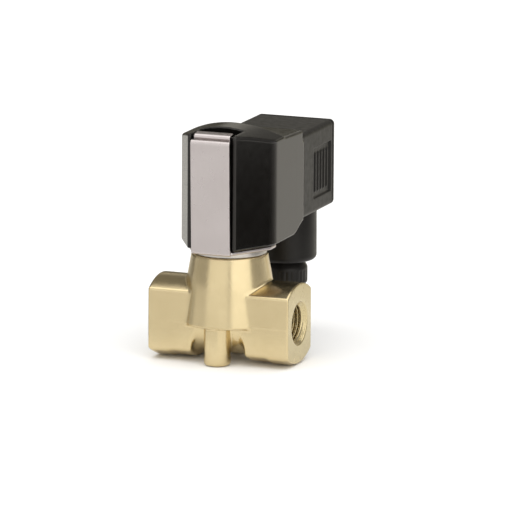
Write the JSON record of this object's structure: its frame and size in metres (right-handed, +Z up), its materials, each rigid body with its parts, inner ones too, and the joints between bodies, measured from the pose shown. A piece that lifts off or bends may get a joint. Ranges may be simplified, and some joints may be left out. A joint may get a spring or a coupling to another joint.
{
  "type": "solenoid valve",
  "caption": "Brass-bodied solenoid valve with two in-line threaded ports, a black clip-on coil held by a steel strap, and a right-angle cable connector.",
  "frame": {"origin": "centre of the valve's bounding box in plan, on the plane the valve stands on", "axes": "+X along the flow from the inlet port to the outlet port, -Y towards the steel strap, +Y towards the cable connector, +Z up along the armature"},
  "size_m": [0.05, 0.082, 0.0798],
  "materials": {
    "brass_forging": "satin, shot-blasted forging with machined faces",
    "brass_turned": "turned, bright",
    "stainless": "turned stainless steel, satin",
    "core_iron": "turned ferritic steel, satin",
    "copper": "enamelled copper wire",
    "strap_steel": "satin spring steel",
    "zinc_plate": "zinc plated",
    "coil_plastic": "black, glossy moulding",
    "connector_plastic": "black, fine-textured moulding",
    "nylon": "natural moulding",
    "rubber": "matt black rubber",
    "seal_rubber": "dark green elastomer"
  },
  "bodies": {
    "valve": {"valve_body": "brass_forging", "valve_seat": "stainless", "guide_tube": "stainless", "tube_nut": "brass_turned", "tube_seal_ring": "rubber", "fixed_core": "core_iron", "shading_ring": "copper", "return_spring": "stainless", "coil_washer": "stainless", "retaining_ring": "strap_steel"},
    "plunger": {"armature": "core_iron", "armature_seal": "seal_rubber"},
    "coil": {"coil_housing": "coil_plastic", "coil_base_cover": "coil_plastic", "coil_bobbin": "nylon", "coil_winding": "copper", "flux_sleeve": "core_iron", "flux_plate_lower": "core_iron", "flux_plate_upper": "core_iron", "clip_base_plate": "strap_steel", "connector_housing": "connector_plastic", "connector_cover": "connector_plastic", "connector_screw": "zinc_plate", "connector_gasket": "rubber", "terminal_block": "nylon", "gland_seal": "rubber", "gland_washer": "zinc_plate", "gland_nut": "connector_plastic", "contact_blade_1": "zinc_plate", "contact_blade_2": "zinc_plate", "contact_blade_earth": "zinc_plate", "contact_socket_1": "brass_turned", "contact_socket_2": "brass_turned", "contact_socket_earth": "brass_turned"},
    "strap": {"clip_strap": "strap_steel"}
  },
  "joints": [
    {"name": "armature_lift", "type": "slide", "parent": "valve", "child": "plunger", "axis": [0, 0, 1], "range_m": [0, 0.002], "stiffness_N_per_m": 800, "springref_m": -0.006, "deforming": ["return_spring"]},
    {"name": "coil_swivel", "type": "hinge", "parent": "valve", "child": "coil", "pos_m": [0, -0.02165, 0.0389], "axis": [0, 0, 1], "continuous": true},
    {"name": "strap_flex", "type": "hinge", "parent": "coil", "child": "strap", "pos_m": [0, -0.03865, 0.0389], "axis": [1, 0, 0], "range_deg": [0, 5], "stiffness_Nm_per_rad": 2, "springref_deg": -2.86}
  ]
}
